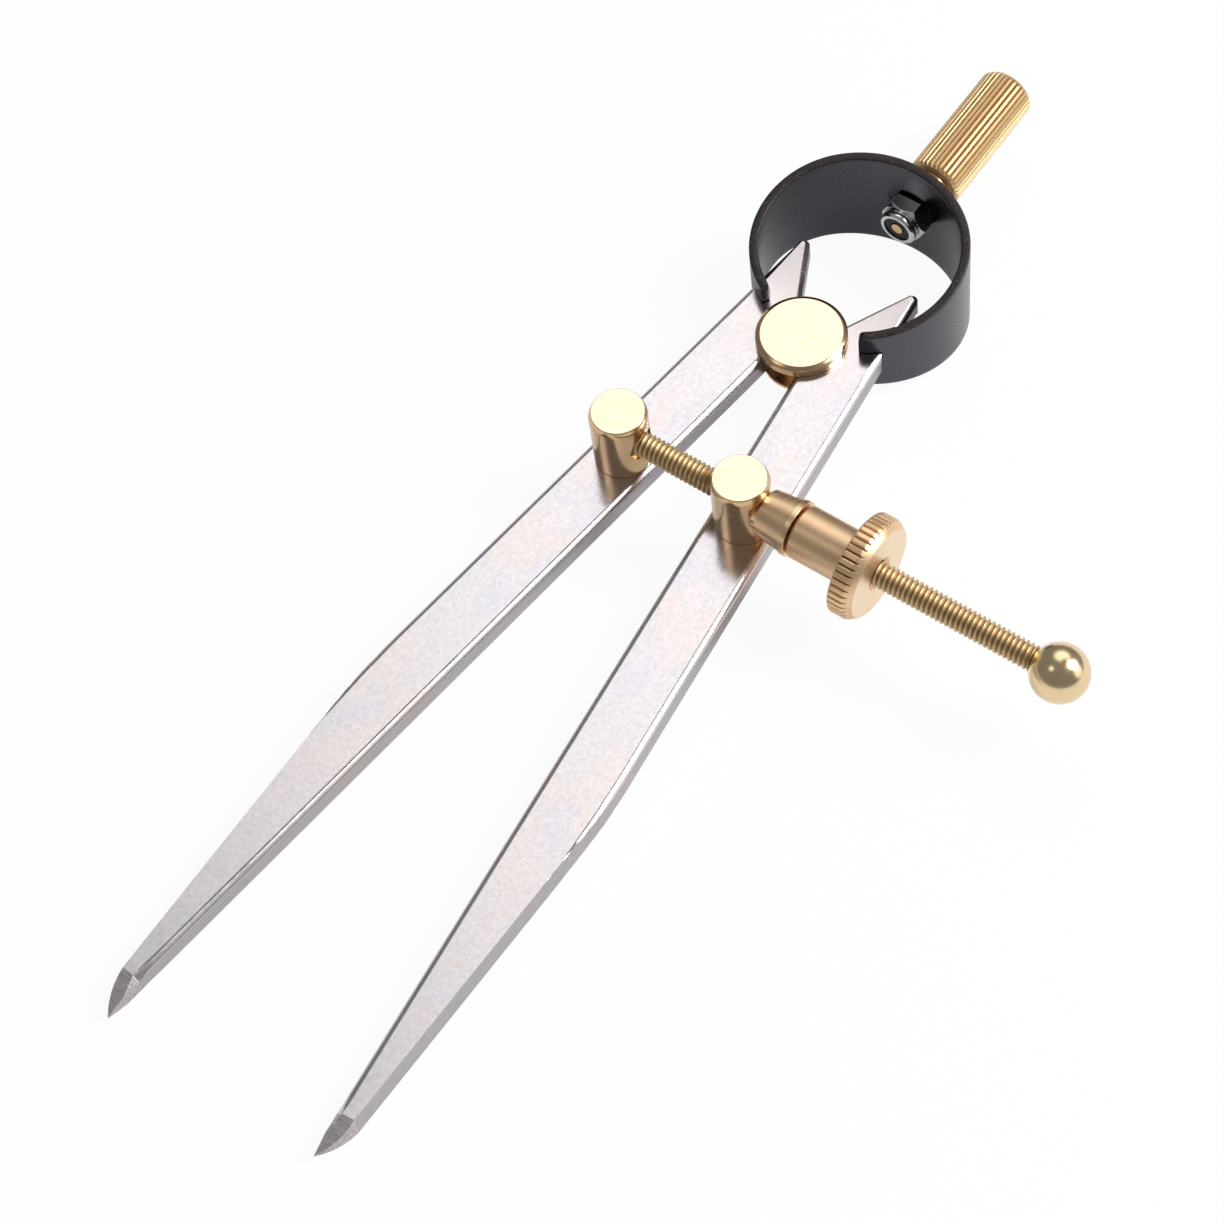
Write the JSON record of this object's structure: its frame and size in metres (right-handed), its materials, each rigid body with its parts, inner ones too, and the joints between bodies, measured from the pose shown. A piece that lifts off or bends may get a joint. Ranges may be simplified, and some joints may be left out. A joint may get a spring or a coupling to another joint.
{
  "type": "wing divider",
  "caption": "Spring divider with flat pointed steel legs, a bow spring, a knurled brass handle and a fine adjusting screw with a knurled wheel and a ball end.",
  "frame": {"origin": "centre of the pivot's rear face, on the pivot axis", "axes": "+Z is the pivot axis from the rear face to the front face, +Y points to the handle and the leg points are towards -Y, +X points to the adjusting wheel and the screw's ball end. The divider lies flat."},
  "size_m": [0.0901, 0.202, 0.0259],
  "materials": {
    "leg_steel": "ground and lightly polished",
    "spring_black": "satin black",
    "brass": "turned and polished",
    "screw_brass": "threaded, satin",
    "zinc": "bright zinc plated",
    "plated_steel": "bright plated",
    "dark_steel": "black oxide",
    "nylon": "matt black nylon"
  },
  "bodies": {
    "head": {"bow_spring": "spring_black", "pivot_core": "brass", "pivot_cap": "brass", "pivot_screw": "plated_steel", "handle": "brass", "lock_nut": "zinc", "nut_insert": "nylon"},
    "left_leg": {"left_leg": "leg_steel"},
    "right_leg": {"right_leg": "leg_steel"},
    "left_post": {"left_post": "brass", "left_post_washer": "brass", "left_post_screw": "plated_steel", "set_screw": "dark_steel", "adjusting_screw": "screw_brass", "ball_end": "brass"},
    "right_post": {"right_post": "brass", "right_post_washer": "brass", "right_post_screw": "plated_steel", "thrust_sleeve": "brass"},
    "wheel": {"adjusting_wheel": "brass"}
  },
  "joints": [
    {"name": "left_leg_open", "type": "hinge", "parent": "head", "child": "left_leg", "pos_m": [0, 0, 0.00385], "axis": [0, 0, -1], "range_deg": [-7.1, 27], "deforming": ["bow_spring"]},
    {"name": "right_leg_open", "type": "hinge", "parent": "head", "child": "right_leg", "pos_m": [0, 0, 0.00385], "axis": [0, 0, 1], "range_deg": [-7.1, 27]},
    {"name": "left_post_swivel", "type": "hinge", "parent": "left_leg", "child": "left_post", "pos_m": [-0.01078, -0.0313, 0.00385], "axis": [0, 0, 1], "range_deg": [-7.1, 27]},
    {"name": "right_post_swivel", "type": "hinge", "parent": "right_leg", "child": "right_post", "pos_m": [0.01078, -0.0313, 0.00385], "axis": [0, 0, -1], "range_deg": [-7.1, 27]},
    {"name": "wheel_spin", "type": "hinge", "parent": "right_post", "child": "wheel", "pos_m": [0.02103, -0.0313, 0.01185], "axis": [1, 0, 0], "continuous": true}
  ],
  "couplings": [
    {"joint": "right_leg_open", "follows": "left_leg_open", "ratio": 1},
    {"joint": "left_post_swivel", "follows": "left_leg_open", "ratio": 1},
    {"joint": "right_post_swivel", "follows": "left_leg_open", "ratio": 1}
  ]
}
